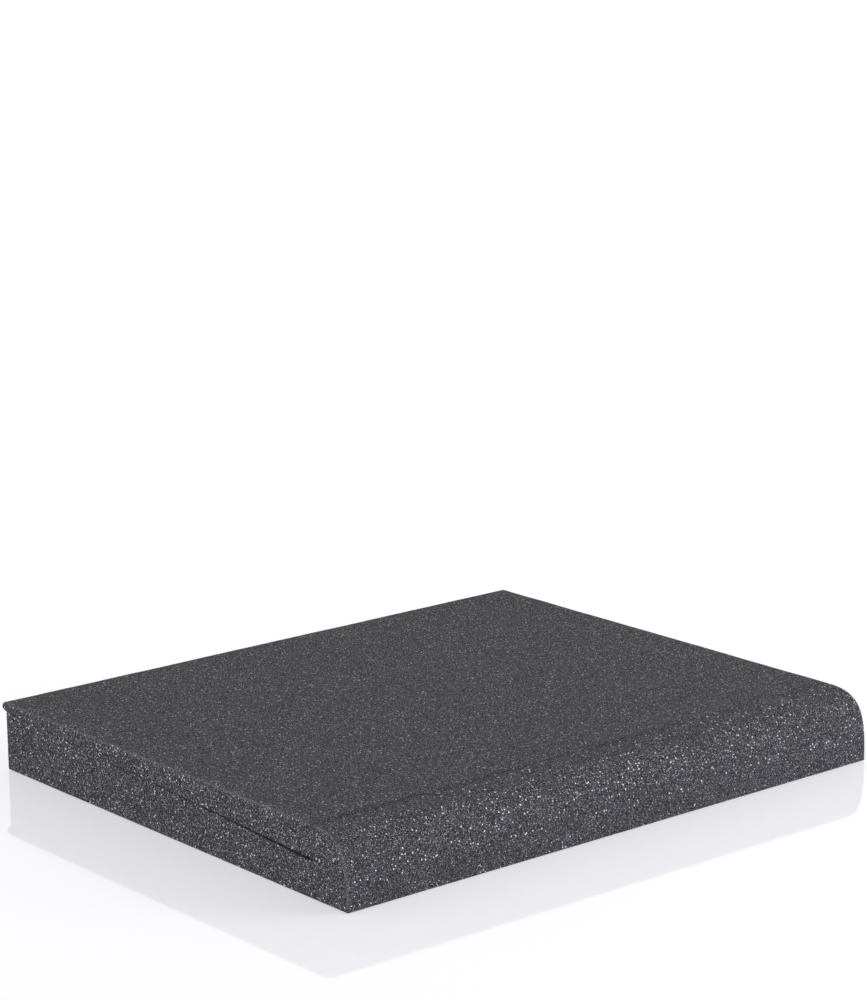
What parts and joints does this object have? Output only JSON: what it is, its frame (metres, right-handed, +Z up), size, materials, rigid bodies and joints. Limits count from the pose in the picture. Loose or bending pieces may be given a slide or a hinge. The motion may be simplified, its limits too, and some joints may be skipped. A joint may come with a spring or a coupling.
{
  "type": "speaker isolation pad",
  "caption": "Charcoal foam slab with a rounded front nose and a stepped seat that holds a tapered foam wedge, to stand a loudspeaker on and keep its vibration off the desk.",
  "frame": {"origin": "middle of the footprint, on the surface that the pad stands on", "axes": "+X along the width, +Y from the rounded front nose to the rear, +Z up through the level top"},
  "size_m": [0.394, 0.33, 0.0412],
  "materials": {
    "foam": "matte"
  },
  "bodies": {
    "root": {"base_pad": "foam", "wedge_insert": "foam"}
  },
  "joints": []
}
